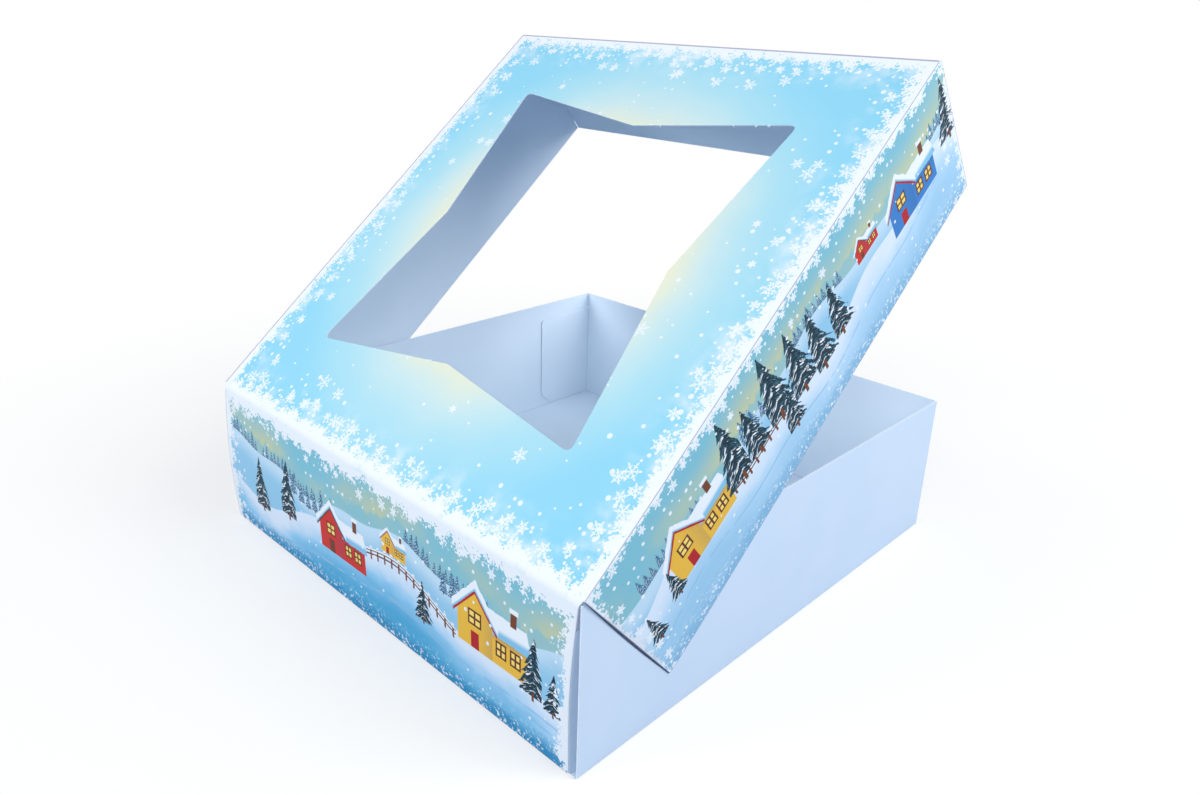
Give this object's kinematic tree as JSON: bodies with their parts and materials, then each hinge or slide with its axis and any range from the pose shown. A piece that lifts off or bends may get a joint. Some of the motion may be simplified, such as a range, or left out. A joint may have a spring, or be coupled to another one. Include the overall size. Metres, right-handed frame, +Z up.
{
  "type": "bakery box",
  "caption": "Square folded boxboard cake box with a hinged lid whose side and front flaps close over the base, and a cut-out window with drawn-in sides in the lid.",
  "frame": {"origin": "middle of the underside of the base, on the surface that the box stands on", "axes": "+Z up; +X along the hinge crease, to the right as seen from the hinge wall; +Y from the hinge wall to the front wall"},
  "size_m": [0.253, 0.254, 0.2369],
  "materials": {
    "white_board": "uncoated white inside of folding boxboard, matte",
    "printed_lid": "offset-printed sky blue with a soft coating, satin",
    "printed_scene": "offset-printed winter landscape with a soft coating, satin",
    "dried_glue": "dried adhesive film"
  },
  "bodies": {
    "base": {"base_floor": "white_board", "hinge_wall": "printed_scene", "front_wall": "white_board", "left_wall": "white_board", "right_wall": "white_board", "hinge_wall_left_tab": "white_board", "hinge_wall_right_tab": "white_board", "front_wall_left_tab": "white_board", "front_wall_right_tab": "white_board", "hinge_left_glue": "dried_glue", "hinge_right_glue": "dried_glue", "front_left_glue": "dried_glue", "front_right_glue": "dried_glue"},
    "lid": {"lid_top": "printed_lid", "lid_front_flap": "printed_scene", "lid_left_flap": "printed_scene", "lid_right_flap": "printed_scene", "lid_left_tab": "white_board", "lid_right_tab": "white_board", "lid_left_glue": "dried_glue", "lid_right_glue": "dried_glue"}
  },
  "joints": [
    {"name": "lid_hinge", "type": "hinge", "parent": "base", "child": "lid", "pos_m": [0, -0.127, 0.0723], "axis": [1, 0, 0], "range_deg": [-40, 156]}
  ]
}
